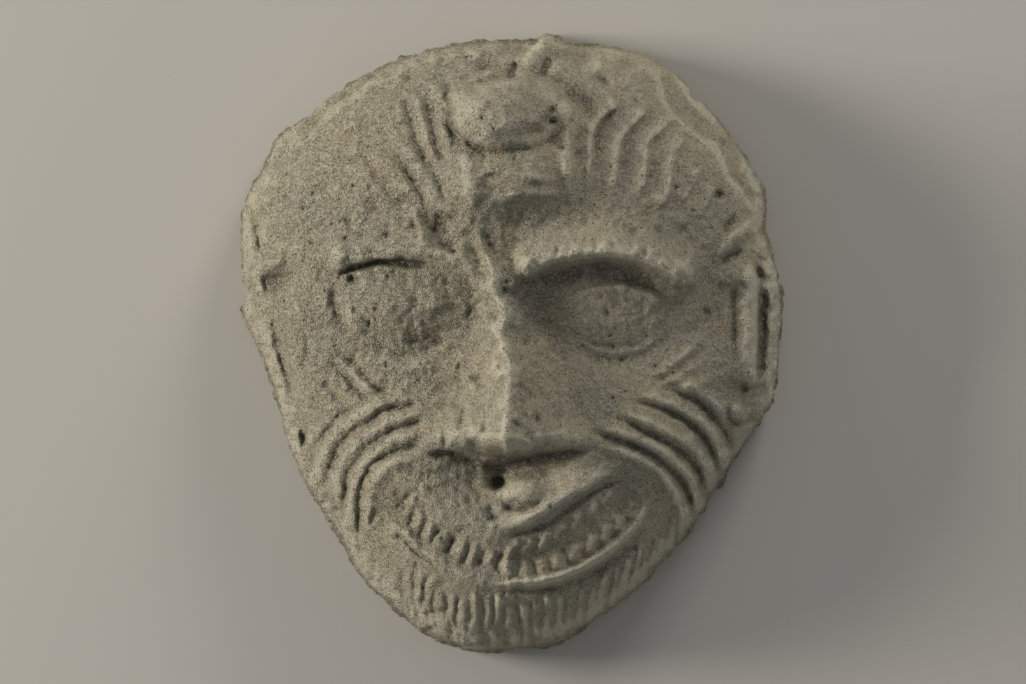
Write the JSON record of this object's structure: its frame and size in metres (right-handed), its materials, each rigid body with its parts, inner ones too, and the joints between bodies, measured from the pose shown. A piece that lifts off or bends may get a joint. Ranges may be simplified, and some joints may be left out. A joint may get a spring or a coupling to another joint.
{
  "type": "humbaba mask",
  "caption": "Mould-made fired clay mask of a grinning demon's furrowed face, with a ringed brow knob, a toothed grin, a combed beard and a hollow back.",
  "frame": {"origin": "middle of the bounding box on the plane of the flat back rim that the mask lies on", "axes": "+Z out of the face, +Y to the crown, +X to the viewer's right; the mask lies on its back"},
  "size_m": [0.0876, 0.1, 0.0376],
  "materials": {
    "fired_clay": "matt, sandy buff fired clay with dark grit, unglazed"
  },
  "bodies": {
    "root": {"mask": "fired_clay"}
  },
  "joints": []
}
